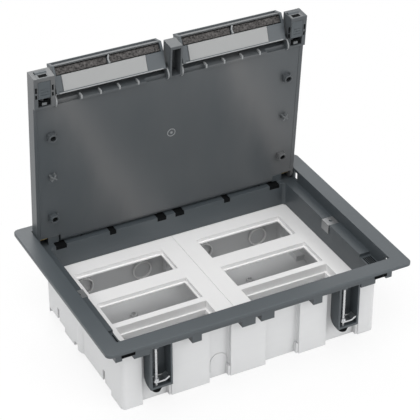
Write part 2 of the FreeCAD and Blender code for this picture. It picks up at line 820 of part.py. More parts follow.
def lid_shell():
    body = lid_blank()
    tray, under = lid_tray_cutter()
    body = body.cut([tray, under])
    cutters = []
    additions = []
    for index in (0, 1):
        cutters += bay_cutters(index)
        additions += bay_additions(index)
    bays = flap_bays()
    cutters.append(box(bays[0][1] + mid_pocket_margin, bays[1][0] - mid_pocket_margin, row_y(mid_pocket_rows[1]),
                       row_y(mid_pocket_rows[0]), lid_front_inner - 1, top - mid_pocket_floor))
    body = body.cut(cutters)
    for x, y in lid_boss_places():
        additions.append(upright_rod(x, y, lid_inner - lid_boss_height, lid_inner + 1, lid_boss_radius))
    for side in (-1, 1):
        stud = upright_rod(side * stud_x, row_y(stud_row), lid_inner - stud_height, lid_inner + 1, stud_radius)
        additions.append(stud)
    body = body.fuse(additions)
    holes = []
    for x, y in lid_boss_places():
        holes.append(upright_rod(x, y, lid_inner - lid_boss_height - 1, top, lid_boss_hole))
    axis_y, axis_z = flap_axis()
    for index in (0, 1):
        start, end = flap_bays()[index]
        holes.append(cross_rod(start - 0.5, end + 0.5, axis_y, axis_z, trunnion_radius + pin_clearance))
    for side in (-1, 1):
        holes += latch_cutters(side)
        x0, x1 = hinge_pocket_span(side)
        reach = knuckle_radius + knuckle_gap
        holes.append(box(x0, x1, hinge_y - reach, hinge_y + hinge_inset + 1, lid_inner - 1, hinge_z + reach))
        holes.append(cross_rod(x0 - 4, x1 + 4, hinge_y, hinge_z, pin_radius + pin_clearance))
    return body.cut(holes).removeSplitter()


def hinge_pin(side):
    x0, x1 = hinge_pocket_span(side)
    return cross_rod(x0 - 2.6, x1 + 2.6, hinge_y, hinge_z, pin_radius)


def lid_steel_plate():
    y0 = lid_front + lid_front_zone + 2 + fit_gap
    y1 = hinge_y - hinge_inset - fit_gap
    half = lid_x - lid_rim - fit_gap
    low = top - lid_tray_depth
    plate = box(-half, half, y0, y1, low, low + plate_thickness)
    holes = [upright_rod(x, y, low - 1, low + plate_thickness + 1, 2.2) for x, y in lid_boss_places()]
    sinks = [Part.makeCone(2.2, 4.2, plate_thickness, FreeCAD.Vector(x, y, low)) for x, y in lid_boss_places()]
    return plate.cut(holes + sinks)


def lid_plate_screws():
    """Countersunk screws through the steel plate into the lid's bosses."""
    low = top - lid_tray_depth
    screws = []
    for x, y in lid_boss_places():
        shank = upright_rod(x, y, lid_inner - lid_boss_height + 1, low + 1, lid_boss_hole - 0.05)
        head = Part.makeCone(2.0, 4.0, plate_thickness - 0.1, FreeCAD.Vector(x, y, low + 0.1))
        slot = box(x - 4.2, x + 4.2, y - 0.4, y + 0.4, low + plate_thickness - 0.7, low + plate_thickness + 1)
        screws.append(shank.fuse(head).cut(slot))
    return Part.makeCompound(screws)


# ---------------------------------------------------------------- cable flaps
def flap_ends(index):
    middle = flap_middle(index)
    return middle - flap_length / 2, middle + flap_length / 2


def flap_profile():
    """Outline of a flap's end, from the free edge round to the hinge."""
    axis_y, axis_z = flap_axis()
    inner = top - flap_depth
    wall = row_y(flap_wall_row)
    return ((lid_front, top), (lid_front + flap_taper, inner + flap_edge_step), (lid_front + flap_shoulder, inner),
            (wall, inner),
            (wall, axis_z - hub_radius), (axis_y, axis_z - hub_radius), (axis_y - 0.5, top))


def flap_body(index):
    """A shallow box that fills the bay: outer skin, rim, end cheeks and the wall behind the label."""
    x0, x1 = flap_ends(index)
    axis_y, axis_z = flap_axis()
    inner = top - flap_depth
    front = lid_front
    wall = row_y(flap_wall_row)
    label_end = row_y(label_row + label_height)
    outline = flap_profile()
    skin = box(x0, x1, front, axis_y - 0.5, top - flap_skin, top)
    foot = front + flap_taper
    rim = side_profile(x0, x1, ((front, top), (foot, inner + flap_edge_step),
                                (foot + flap_wall, inner + flap_edge_step), (front + flap_wall, top)))
    seat = box(x0, x1, label_end, wall, inner + label_thickness, inner + label_thickness + label_seat)
    heel = box(x0, x1, wall - flap_wall, wall, inner, top)
    cheeks = [side_profile(x0, x0 + flap_cheek, outline), side_profile(x1 - flap_cheek, x1, outline)]
    reach = flap_side_gap + ear_thickness * 0.6
    hubs = []
    for start, end, tip in ((x0, x0 + flap_cheek, x0 - reach), (x1 - flap_cheek, x1, x1 + reach)):
        hubs.append(cross_rod(start, end, axis_y, axis_z, hub_radius))
        hubs.append(cross_rod(min(start, tip), max(end, tip), axis_y, axis_z, trunnion_radius))
    middle = (x0 + x1) / 2
    divider = box(middle - 1.0, middle + 1.0, foot + 1, label_end, inner + 0.6, top - 1)
    blank = box(x1 - blank_length + 0.3, x1 - 1, label_end, row_y(label_row), inner, inner + label_thickness + 1)
    body = skin.fuse([rim, seat, heel, divider, blank] + hubs + cheeks)
    return body.removeSplitter()


def flap_label(index):
    """The pale plate held on the inner side of a flap."""
    x0, x1 = flap_ends(index)
    inner = top - flap_depth
    return box(x0 + label_margin, x1 - blank_length, row_y(label_row + label_height), row_y(label_row), inner,
               inner + label_thickness)


def flap_foam(index):
    """The foam strip behind a flap's rim, in two lengths either side of the divider."""
    x0, x1 = flap_ends(index)
    middle = (x0 + x1) / 2
    front = lid_front + flap_wall + flap_gap
    back = row_y(label_row + label_height) - flap_gap
    low = top - flap_depth + 0.4
    high = top - flap_skin - flap_gap
    outline = ((front, high), (front + flap_taper, low + 2.5), (back, low), (back, high))
    pieces = []
    for start, end in ((x0 + flap_cheek + flap_gap, middle - 1.3), (middle + 1.3, x1 - flap_cheek - flap_gap)):
        pieces.append(side_profile(start, end, outline))
    return Part.makeCompound(pieces)


# ---------------------------------------------------------------- the whole box
def opened(shape):
    return turned(shape, -open_angle, hinge_y, hinge_z)


def flap_opened(shape):
    axis_y, axis_z = flap_axis()
    return opened(turned(shape, -flap_open_angle, axis_y, axis_z))


def all_nodes():
    nodes = {"frame": frame(), "base_box": base_box(), "lid_shell": opened(lid_shell()),
             "lid_steel_plate": opened(lid_steel_plate()), "lid_plate_screws": opened(lid_plate_screws())}
    for side, name in ((-1, "left"), (1, "right")):
        nodes["module_frame_" + name] = module_frame(side)
        nodes["side_clip_" + name] = side_clip(side)
        nodes["hinge_pin_" + name] = hinge_pin(side)
        nodes["latch_" + name] = opened(latch(side))
        nodes["latch_spring_" + name] = opened(latch_spring(side))
        nodes["clamp_screw_front_" + name] = clamp_screw(side, clamp_front_mouth)
        nodes["clamp_claw_front_" + name] = clamp_claw(side, clamp_front_mouth)
        nodes["clamp_screw_back_" + name] = turned_round(clamp_screw(-side, clamp_back_mouth))
        nodes["clamp_claw_back_" + name] = turned_round(clamp_claw(-side, clamp_back_mouth))
    for index, name in ((0, "left"), (1, "right")):
        nodes["cable_flap_" + name] = flap_opened(flap_body(index))
        nodes["flap_label_" + name] = flap_opened(flap_label(index))
        nodes["flap_foam_" + name] = flap_opened(flap_foam(index))
    return nodes


os.makedirs("parts", exist_ok=True)
for node, solid in all_nodes().items():
    solid.exportStep("parts/" + node + ".step")
    print(node, "solids", len(solid.Solids), "volume", round(solid.Volume), "valid", solid.isValid())
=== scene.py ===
"""Floor socket box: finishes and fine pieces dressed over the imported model."""

import json
import math

import bpy
from bpy.props import FloatProperty, FloatVectorProperty, PointerProperty
from mathutils import Matrix, Vector


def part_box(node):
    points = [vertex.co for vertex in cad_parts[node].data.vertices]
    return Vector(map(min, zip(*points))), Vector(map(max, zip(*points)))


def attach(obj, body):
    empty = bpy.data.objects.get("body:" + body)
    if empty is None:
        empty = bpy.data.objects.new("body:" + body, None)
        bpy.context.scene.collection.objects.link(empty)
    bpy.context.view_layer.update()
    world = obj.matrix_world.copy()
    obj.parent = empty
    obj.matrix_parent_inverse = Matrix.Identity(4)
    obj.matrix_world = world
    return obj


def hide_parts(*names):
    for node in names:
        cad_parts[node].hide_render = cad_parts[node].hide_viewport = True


bl_info = {
    "name": "Floor socket box",
    "version": (1, 0, 0),
    "blender": (4, 5, 0),
    "location": "3D View > Sidebar > Floor box",
    "description": "Moulded, foam and metal finishes and fine pieces for a floor socket box",
    "category": "Object",
}

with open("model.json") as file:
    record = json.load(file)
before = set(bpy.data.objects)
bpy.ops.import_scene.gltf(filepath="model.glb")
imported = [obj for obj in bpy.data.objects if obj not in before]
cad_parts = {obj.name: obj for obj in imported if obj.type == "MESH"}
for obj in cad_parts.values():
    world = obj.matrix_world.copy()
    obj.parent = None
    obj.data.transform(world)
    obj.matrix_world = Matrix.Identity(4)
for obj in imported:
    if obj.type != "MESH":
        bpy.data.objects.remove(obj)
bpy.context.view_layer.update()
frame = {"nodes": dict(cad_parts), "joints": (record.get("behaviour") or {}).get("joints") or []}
MM = 0.001                          # the modelling helpers take millimetres
SIDES = {"left": -1, "right": 1}    # and the sign of their X
ENDS = {"front": -1, "back": 1}     # and the sign of their Y
LID_SWING = math.radians(-85.5)     # from shut to the open lid
FLAP_SWING = math.radians(-24.0)    # from flush with the lid to tilted open


# ---------------------------------------------------------------- sizes and colours
class FloorBoxFinish(bpy.types.PropertyGroup):
    graphite: FloatVectorProperty(name="Graphite", description="Colour of the frame, lid and flaps",
                                  subtype="COLOR", size=3, default=(0.060, 0.071, 0.079))
    # The lid's sheens are painted reflections: lighter bands put into its colour.
    lid_sheen: FloatVectorProperty(name="Lid sheen", description="Colour of the broad sheens on the lid",
                                   subtype="COLOR", size=3, default=(0.118, 0.120, 0.122))
    # The lighter colour of ribs, lips and round edges is a painted highlight.
    painted_highlight: FloatVectorProperty(name="Rubbed edge", description="Colour of ribs and lips rubbed light",
                                     subtype="COLOR", size=3, default=(0.27, 0.28, 0.285))
    # The lighter colour of pegs, pads, catches and the flaps' rims is a dim painted highlight.
    dim_painted_highlight: FloatVectorProperty(name="Dull edge", description="Colour of pegs, pads and the flaps' rims",
                                   subtype="COLOR", size=3, default=(0.125, 0.133, 0.138))
    light_grey: FloatVectorProperty(name="Light grey", description="Colour of the base",
                                    subtype="COLOR", size=3, default=(0.64, 0.645, 0.65))
    white: FloatVectorProperty(name="White", description="Colour of the module frames",
                               subtype="COLOR", size=3, default=(0.90, 0.89, 0.885))
    plate: FloatVectorProperty(name="Plate", description="Colour of the pale plates on the flaps",
                               subtype="COLOR", size=3, default=(0.29, 0.295, 0.295))
    foam: FloatVectorProperty(name="Foam", description="Colour of the foam seals",
                              subtype="COLOR", size=3, default=(0.036, 0.034, 0.033))
    zinc: FloatVectorProperty(name="Zinc", description="Colour of the plated steel",
                              subtype="COLOR", size=3, default=(0.60, 0.61, 0.62))
    brass: FloatVectorProperty(name="Brass", description="Colour of the hinge pins where bright",
                               subtype="COLOR", size=3, default=(0.70, 0.55, 0.28))
    brass_stain: FloatVectorProperty(name="Brass stain", description="Colour of the hinge pins where dull",
                                     subtype="COLOR", size=3, default=(0.42, 0.31, 0.13))
    edge_softness: FloatProperty(name="Edge softness", description="Radius at which moulded edges shine",
                                 subtype="DISTANCE", unit="LENGTH", default=0.0005, min=0.0, max=0.003)


class FloorBoxSizes(bpy.types.PropertyGroup):
    foam_swell: FloatProperty(name="Foam swell", description="How far the foam's cells stand in and out",
                              subtype="DISTANCE", unit="LENGTH", default=0.0006, min=0.0, max=0.002)
    thread_pitch: FloatProperty(name="Thread pitch", description="Pitch of the clamp screws",
                                subtype="DISTANCE", unit="LENGTH", default=0.0007, min=0.0004, max=0.003)


class FloorBoxStage(bpy.types.PropertyGroup):
    camera_place: FloatVectorProperty(name="Camera", description="Where the camera stands",
                                      subtype="TRANSLATION", size=3, default=(-0.6529, -1.2658, 1.0686))
    camera_turn: FloatVectorProperty(name="Camera turn", description="How the camera is turned",
                                     subtype="EULER", size=3,
                                     default=(math.radians(56.854), 0.0, math.radians(-27.294)))
    focal_length: FloatProperty(name="Focal length", description="Lens, in millimetres",
                                default=143.62, min=10.0, max=400.0)
    surround: FloatProperty(name="Surround", description="Strength of the light from all round",
                            subtype="FACTOR", default=0.62, min=0.0, max=2.0)


# ---------------------------------------------------------------- node helpers
class Socket:
    """One output socket that can be used in Python arithmetic; each operation adds a Math node."""

    def __init__(self, paint, link):
        self.paint = paint
        self.link = link

    def _math(self, operation, first, second):
        return self.paint.node("ShaderNodeMath", {"operation": operation}, [first, second])

    def __add__(self, other):
        return self._math("ADD", self, other)

    def __radd__(self, other):
        return self._math("ADD", other, self)

    def __sub__(self, other):
        return self._math("SUBTRACT", self, other)

    def __rsub__(self, other):
        return self._math("SUBTRACT", other, self)

    def __mul__(self, other):
        return self._math("MULTIPLY", self, other)

    def __rmul__(self, other):
        return self._math("MULTIPLY", other, self)

    def __truediv__(self, other):
        return self._math("DIVIDE", self, other)

    def __rtruediv__(self, other):
        return self._math("DIVIDE", other, self)

    def clamped(self):
        return self.paint.node("ShaderNodeClamp", {}, [self, 0.0, 1.0])


class Paint:
    """The nodes of a material or of the world."""

    def __init__(self, owner):
        self.owner = owner
        owner.use_nodes = True
        self.tree = owner.node_tree

    def node(self, kind, settings, values, output=0):
        """Adds a node: settings first, then the values or links of its sockets by place or name."""
        made = self.tree.nodes.new(kind)
        for key, value in settings.items():
            setattr(made, key, value)
        pairs = values.items() if isinstance(values, dict) else enumerate(values)
        for key, value in pairs:
            self.plug(made.inputs[key], value)
        return Socket(self, made.outputs[output])

    def plug(self, target, value):
        if isinstance(value, Socket):
            self.tree.links.new(value.link, target)
        elif value is not None:
            target.default_value = value

    def place(self):
        return self.node("ShaderNodeTexCoord", {}, [], "Object")

    def along(self, place, axis):
        return self.node("ShaderNodeSeparateXYZ", {}, [place], axis)

    def upright(self, place, factor):
        """Coordinates whose Z is scaled, which draws a pattern out when the factor is below 1."""
        return self.node("ShaderNodeMapping", {}, {"Vector": place, "Scale": (1.0, 1.0, factor)})

    def noise(self, place, scale, detail, roughness=0.55):
        return self.node("ShaderNodeTexNoise", {}, {"Vector": place, "Scale": scale, "Detail": detail,
                                                     "Roughness": roughness})

    def mix(self, factor, first, second):
        return self.node("ShaderNodeMix", {"data_type": "RGBA"},
                         {0: factor, 6: (*first, 1.0), 7: (*second, 1.0)}, 2)

    def soft_edges(self, radius):
        return self.node("ShaderNodeBevel", {"samples": 4}, {"Radius": radius})

    def bump(self, height, distance, strength, normal=None):
        return self.node("ShaderNodeBump", {}, {"Strength": strength, "Distance": distance, "Height": height,
                                                 "Normal": normal})

    def seen_rays(self):
        """1 for the rays that show the background: straight, mirrored and through glass."""
        return sum(self.node("ShaderNodeLightPath", {}, [], "Is %s Ray" % kind)
                   for kind in ("Camera", "Glossy", "Transmission")).clamped()

    def finish(self, **sockets):
        surface = self.tree.nodes["Principled BSDF"]
        for name, value in sockets.items():
            self.plug(surface.inputs[name.replace("_", " ")], value)


def new_paint(name):
    return Paint(bpy.data.materials.new(name))


def shade(colour, factor):
    return tuple(min(1.0, channel * factor) for channel in colour)


def finishes():
    return bpy.context.scene.floor_box_finish


# ---------------------------------------------------------------- finishes
GRAIN_SCALE = 1500.0                # grain of spark-eroded tools
GRAIN_DETAIL = 2.0
FINE_GRAIN = 0.00003                # heights of the grain, in metres
MIDDLE_GRAIN = 0.00004
COARSE_GRAIN = 0.00006
METAL_EDGE = 0.0002                 # softness of the metal pieces' edges
NODE_FINISHES = (
    ("frame", "graphite_moulding"), ("lid_shell", "graphite_lid"), ("base_box", "light_grey_moulding"),
    ("module_frame", "white_moulding"), ("cable_flap", "graphite_moulding"), ("latch_spring", "zinc_plate"),
    ("latch", "graphite_moulding"), ("flap_label", "pale_plate"), ("hinge_pin", "hinge_brass"),
    ("clamp_screw", "zinc_thread"), ("clamp_claw", "zinc_plate"), ("side_clip", "zinc_dull"),
    ("lid_steel", "galvanised_sheet"), ("lid_plate_screws", "zinc_dull"))


def moulded_plastic(name, colour, rough, grain, drift, gloss=0.5):
    """Satin moulded plastic: fine grain and a slow drift of tone."""
    paint = new_paint(name)
    place = paint.place()
    slow = paint.noise(place, scale=14.0, detail=2.0)
    fine = paint.noise(place, GRAIN_SCALE, GRAIN_DETAIL)
    flow = paint.noise(paint.upright(place, 6.0), scale=30.0, detail=4.0)
    tone = (slow * 0.6 + flow * 0.4 - 0.5) * drift + 0.5
    base = paint.mix(tone.clamped(), shade(colour, 0.84), shade(colour, 1.16))
    roughness = (fine - 0.5) * 0.14 + (flow - 0.5) * 0.16 + rough
    edges = paint.soft_edges(finishes().edge_softness)
    normal = paint.bump(fine, distance=grain, strength=0.5, normal=edges)
    paint.finish(Base_Color=base, Roughness=roughness.clamped(), Normal=normal, Specular_IOR_Level=gloss)


def lid_finish(name):
    """The lid's satin plastic, with broad slanting sheens painted into its colour as reflections."""
    lean = 0.49
    # middle, half width and weight of each painted reflection
    sheens = ((0.006, 0.020, 0.65), (0.196, 0.024, 0.70), (0.100, 0.080, 0.15))
    paint = new_paint(name)
    place = paint.place()
    fine = paint.noise(place, GRAIN_SCALE, GRAIN_DETAIL)
    flow = paint.noise(paint.upright(place, 0.3), scale=26.0, detail=3.0) - 0.5
    slant = paint.along(place, "X") + paint.along(place, "Z") * lean + flow * 0.04
    tone = flow * 0.35 + 0.03
    for middle, half_width, weight in sheens:
        spread = (slant - middle) / half_width
        tone = weight / (spread * spread + 1.0) + tone
    # painted reflection: the sheens lighten the graphite towards the sheen colour
    base = paint.mix(tone.clamped(), shade(finishes().graphite, 0.84), tuple(finishes().lid_sheen))
    roughness = (fine - 0.5) * 0.12 + 0.36
    edges = paint.soft_edges(finishes().edge_softness)
    normal = paint.bump(fine, distance=MIDDLE_GRAIN, strength=0.5, normal=edges)
    paint.finish(Base_Color=base, Roughness=roughness.clamped(), Normal=normal)


def foam_finish(name):
    """Open-cell foam: round cells and a random speckle, with painted shade in the cells' hollows and lighter
    walls.
    """
    colour = finishes().foam
    paint = new_paint(name)
    place = paint.place()
    cells = paint.node("ShaderNodeTexVoronoi", {"feature": "F1"}, {"Vector": place, "Scale": 460.0})
    patch = paint.noise(place, scale=520.0, detail=4.0, roughness=0.75)
    speckle_and_cell_shade = (cells * 0.7 + (patch - 0.5) * 2.6 + 0.1).clamped()
    # random speckle, and painted shade in the cells' hollows
    base = paint.mix(speckle_and_cell_shade, shade(colour, 0.22), shade(colour, 3.4))
    normal = paint.bump(cells + patch, distance=0.0006, strength=0.9)
    paint.finish(Base_Color=base, Roughness=0.95, Normal=normal)


def zinc_finish(name, metal, tone):
    """Zinc plate over drawn steel, with faint clouding."""
    colour = shade(finishes().zinc, tone)
    paint = new_paint(name)
    place = paint.place()
    cloud = paint.noise(place, scale=160.0, detail=4.0)
    drawn = paint.noise(paint.upright(place, 0.08), scale=2400.0, detail=2.0)
    base = paint.mix(cloud, shade(colour, 0.78), shade(colour, 1.15))
    roughness = cloud * 0.22 + drawn * 0.14 + 0.16
    normal = paint.bump(drawn, distance=MIDDLE_GRAIN, strength=0.4, normal=paint.soft_edges(METAL_EDGE))
    paint.finish(Base_Color=base, Roughness=roughness.clamped(), Metallic=metal, Normal=normal)


def threaded_finish(name):
    """The zinc of the clamp screws, with the thread's ridges on the shank, bumped and painted lighter on the
    crests and darker in the roots as light and shade.
    """
    colour = finishes().zinc
    turns = 2 * math.pi / bpy.context.scene.floor_box_sizes.thread_pitch
    paint = new_paint(name)
    place = paint.place()
    wave = paint.node("ShaderNodeMath", {"operation": "SINE"}, [paint.along(place, "Z") * turns])
    ridge_and_painted_shade = wave * 0.5 + 0.5
    # painted light and shade: crests lighter, roots darker
    base = paint.mix(ridge_and_painted_shade, shade(colour, 0.72), shade(colour, 1.25))
    roughness = paint.noise(place, scale=240.0, detail=3.0) * 0.2 + 0.18
    normal = paint.bump(ridge_and_painted_shade, distance=0.0002, strength=0.5)
    paint.finish(Base_Color=base, Roughness=roughness, Metallic=1.0, Normal=normal)


def brass_finish(name):
    """Drawn brass, stained in places."""
    paint = new_paint(name)
    cloud = paint.noise(paint.place(), scale=300.0, detail=3.0)
    roughness = cloud * 0.2 + 0.2
    base = paint.mix(cloud, tuple(finishes().brass_stain), tuple(finishes().brass))
    paint.finish(Base_Color=base, Roughness=roughness, Metallic=1.0, Normal=paint.soft_edges(METAL_EDGE))


# ---------------------------------------------------------------- modelling helpers, in millimetres
def joint_place(name):
    return Vector(next(item for item in frame["joints"] if item["name"] == name)["pos_m"]) / MM


def node_box(name):
    """The lowest and the highest corner of a CAD node."""
    return [Vector(corner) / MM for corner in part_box(name)]


def row(distance):
    """Y of a line that far from the hinge axis on the shut lid."""
    return HINGE.y - distance


HINGE = joint_place("lid_hinge")
LID_TOP = 94.0                      # outer face of the shut lid
LID_DEPTH = 13.5                    # from there to the inner face of its panel
FLAP_DEPTH = 14.2                   # from there to the inner face of the flaps and their foam
FREE_EDGE_ROW = 203.7
FLAP_AXIS = Vector((0.0, row(173.2), LID_TOP - 3.2))
UPSIDE_DOWN = (math.pi, 0, 0)       # for pieces that stand on the shut lid's inner face
FACING_FRONT = (math.pi / 2, 0, 0)


def span(middle, width):
    return middle - width / 2, middle + width / 2


def start_clean():
    if bpy.context.object and bpy.context.object.mode != "OBJECT":
        bpy.ops.object.mode_set(mode="OBJECT")
    bpy.ops.object.select_all(action="DESELECT")


def pick(piece):
    """Selects one piece alone and makes it active."""
    start_clean()
    piece.select_set(True)
    bpy.context.view_layer.objects.active = piece


def settle(piece):
    """Puts the piece's place into its mesh, with its object at the origin."""
    pick(piece)
    bpy.ops.object.transform_apply(location=True, rotation=True, scale=True)


def named(piece, name):
    piece.name = name
    piece.data.name = name
    return piece


def use_modifier(piece, kind, **settings):
    pick(piece)
    modifier = piece.modifiers.new(kind.title(), kind)
    for key, value in settings.items():
        setattr(modifier, key, value)
    bpy.ops.object.modifier_apply(modifier=modifier.name)


def rounded(piece, edge):
    """Rounds the piece's sharp edges off, where a radius is given."""
    if edge:
        use_modifier(piece, "BEVEL", width=edge * MM, segments=2, limit_method="ANGLE")
    return piece


def block(name, x, y, z, edge=0.0):
    """A box between pairs of X, Y and Z, with its edges rounded off."""
    start_clean()
    low, high = (Vector([end(pair) for pair in (x, y, z)]) * MM for end in (min, max))
    bpy.ops.mesh.primitive_cube_add(size=1.0, location=(low + high) / 2)
    piece = named(bpy.context.object, name)
    piece.scale = high - low
    settle(piece)
    return rounded(piece, edge)


def lid_block(name, x, rows, depths, edge=0.0):
    """A box on the shut lid, between two rows from the hinge axis and two depths below the lid's top."""
    return block(name, x, [row(distance) for distance in rows], [LID_TOP - depth for depth in depths], edge)


def hollow(piece, wall, depth):
    """Sinks the piece's top face, but for a wall round it."""
    pick(piece)
    bpy.ops.object.mode_set(mode="EDIT")
    bpy.ops.mesh.select_all(action="DESELECT")
    bpy.ops.object.mode_set(mode="OBJECT")
    for face in piece.data.polygons:
        face.select = face.normal.z > 0.9
    bpy.ops.object.mode_set(mode="EDIT")
    bpy.ops.mesh.select_mode(type="FACE")
    bpy.ops.mesh.inset(thickness=wall * MM)
    bpy.ops.mesh.extrude_region_move(TRANSFORM_OT_translate={"value": (0, 0, -depth * MM)})
    bpy.ops.object.mode_set(mode="OBJECT")


def cup(name, outer, inner, height, depth, edge=0.0):
    """An upright round boss from z 0 to its height, hollowed from its top."""
    start_clean()
    bpy.ops.mesh.primitive_cylinder_add(vertices=40, radius=outer * MM, depth=height * MM,
                                        location=(0, 0, height * MM / 2))
    piece = named(bpy.context.object, name)
    settle(piece)
    hollow(piece, outer - inner, depth)
    return rounded(piece, edge)


def tray(name, x, y, z, wall, depth, edge=0.0):
    """A block hollowed from its top, as an outlined recess."""
    piece = block(name, x, y, z)
    hollow(piece, wall, depth)
    return rounded(piece, edge)


def hoop(name, radius, thickness, around=48, across=12):
    """A ring of round section that lies flat."""
    start_clean()
    bpy.ops.mesh.primitive_torus_add(major_segments=around, minor_segments=across, major_radius=radius * MM,
                                     minor_radius=thickness * MM)
    return named(bpy.context.object, name)


def cut_away(piece, point, normal):
    """Cuts off what lies past a plane and closes the cut."""
    pick(piece)
    bpy.ops.object.mode_set(mode="EDIT")
    bpy.ops.mesh.select_all(action="SELECT")
    bpy.ops.mesh.bisect(plane_co=Vector(point) * MM, plane_no=normal, use_fill=True, clear_outer=True)
    bpy.ops.object.mode_set(mode="OBJECT")


def place_at(piece, location, turn=(0.0, 0.0, 0.0)):
    piece.rotation_euler = turn
    piece.location = Vector(location) * MM
    settle(piece)
    return piece


def join(pieces, name):
    start_clean()
    for piece in pieces:
        piece.select_set(True)
    bpy.context.view_layer.objects.active = pieces[0]
    bpy.ops.object.join()
    return named(bpy.context.object, name)


def swing(piece, angle, pivot):
    """Turns a piece about the X-parallel line through a point."""
    there = Matrix.Translation(pivot * MM)
    piece.matrix_world = there @ Matrix.Rotation(angle, 4, "X") @ there.inverted() @ piece.matrix_world
    settle(piece)
    return piece


def onto_lid(piece):
    """From the shut lid's place to the open lid's."""
    return swing(piece, LID_SWING, HINGE)


def onto_flap(piece):
    """From a flush flap on the shut lid to the tilted flap on the open lid."""
    return onto_lid(swing(piece, FLAP_SWING, FLAP_AXIS))


def copy_of(node, name):
    """A merged copy of a CAD node's mesh, as a piece of its own."""
    start_clean()
    source = frame["nodes"][node]
    made = source.copy()
    made.data = source.data.copy()
    made.parent = None
    for key in [key for key in made.keys() if key.startswith("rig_")]:
        del made[key]
    bpy.context.scene.collection.objects.link(made)
    pick(made)
    bpy.ops.object.mode_set(mode="EDIT")
    bpy.ops.mesh.select_all(action="SELECT")
    bpy.ops.mesh.remove_doubles(threshold=0.01 * MM)
    bpy.ops.object.mode_set(mode="OBJECT")
    return named(made, name)


def wear(piece, finish):
    piece.data.materials.clear()
    piece.data.materials.append(bpy.data.materials[finish])


def dress(piece, finish, body):
    """Gives a piece its finish and the body that it moves with."""
    wear(piece, finish)
    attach(piece, body)


# ---------------------------------------------------------------- operators
class FLOORBOX_OT_finishes(bpy.types.Operator):
    """Give every moulded and metal node its finish"""
    bl_idname = "floorbox.finishes"
    bl_label = "Finishes"

    def execute(self, context):
        colours = finishes()
        # Near-black for the screw feet and the seat's grip ribs, and as painted shade in slots, pockets,
        # grooves and screw mouths.
        black_and_shade_colour = shade(colours.graphite, 0.06)
        moulded_plastic("graphite_moulding", colours.graphite, rough=0.42, grain=COARSE_GRAIN, drift=0.9)
        moulded_plastic("light_grey_moulding", colours.light_grey, rough=0.5, grain=COARSE_GRAIN, drift=0.35)
        moulded_plastic("white_moulding", colours.white, rough=0.36, grain=FINE_GRAIN, drift=0.25)
        moulded_plastic("pale_plate", colours.plate, rough=0.5, grain=FINE_GRAIN, drift=0.3)
        # painted highlight for ribs, lips, ear edges, the foam divider and the gate mark
        moulded_plastic("painted_highlight", colours.painted_highlight, rough=0.36, grain=FINE_GRAIN, drift=0.5)
        # dim painted highlight for pegs, pads, catches and rims
        moulded_plastic("dim_painted_highlight", colours.dim_painted_highlight, rough=0.4, grain=FINE_GRAIN, drift=0.5)
        moulded_plastic("black_and_painted_shade", black_and_shade_colour, rough=0.9, grain=FINE_GRAIN, drift=0.4, gloss=0.1)
        lid_finish("graphite_lid")
        foam_finish("foam_seal")
        zinc_finish("zinc_plate", metal=1.0, tone=1.0)
        zinc_finish("zinc_dull", metal=0.6, tone=0.5)
        zinc_finish("galvanised_sheet", metal=0.6, tone=0.55)
        threaded_finish("zinc_thread")
        brass_finish("hinge_brass")
        for name, node in frame["nodes"].items():
            finish = next((finish for start, finish in NODE_FINISHES if name.startswith(start)), None)
            if finish:
                wear(node, finish)
        return {"FINISHED"}


class FLOORBOX_OT_cable_flaps(bpy.types.Operator):
    """Open the flaps' free edges, so that the foam faces the cables"""
    bl_idname = "floorbox.cable_flaps"
    bl_label = "Cable flaps"

    # rows from the hinge axis, and depths below the lid's top
    OPENING = (198.6, 204.4), (16.0, 2.2)
    RIM = (200.9, 202.3), (13.5, 5.0)
    GROOVE = (201.4, 201.9), (13.56, 13.2)
    LIP = (173.9, 175.0), (14.95, FLAP_DEPTH)
    DIVIDER_ROW = 196.9
    DIVIDER_BOW = 6.5               # radius of the divider's bow
    DIVIDER_OFFSET = 6.3            # from the middle of the foam to the centre of that bow

    def execute(self, context):
        for side in SIDES:
            node = "cable_flap_" + side
            shell = copy_of(node, "flap_shell_" + side)
            ends = [corner.x for corner in node_box("flap_foam_" + side)]
            cutter = onto_flap(lid_block("edge_cutter", ends, *self.OPENING))
            use_modifier(shell, "BOOLEAN", operation="DIFFERENCE", solver="EXACT", object=cutter)
            bpy.data.objects.remove(cutter)
            dress(shell, "graphite_moulding", "flap_" + side)
            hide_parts(node)
            self.divider(sum(ends) / 2, side)
            # the lip is a painted highlight
            for name, place, edge, finish in (("lip", self.LIP, 0.15, "painted_highlight"),
                                              # the rim is a dim painted highlight
                                              ("rim", self.RIM, 0.3, "dim_painted_highlight"),
                                              # the groove is painted shade
                                              ("rim_groove", self.GROOVE, 0.0, "black_and_painted_shade")):
                strip = lid_block("flap_%s_%s" % (name, side), ends, *place, edge=edge)
                dress(onto_flap(strip), finish, "flap_" + side)
        return {"FINISHED"}

    def divider(self, middle, side):
        """The bowed rib that parts the two lengths of foam."""
        rib = hoop("foam_divider_" + side, self.DIVIDER_BOW, 0.9)
        for normal in ((1.0, 1.0, 0.0), (1.0, -1.0, 0.0)):
            cut_away(rib, (-1.0, 0, 0), normal)
        place_at(rib, (middle + self.DIVIDER_OFFSET, row(self.DIVIDER_ROW), LID_TOP - FLAP_DEPTH))
        # painted highlight on the divider's bow
        dress(onto_flap(rib), "painted_highlight", "flap_" + side)


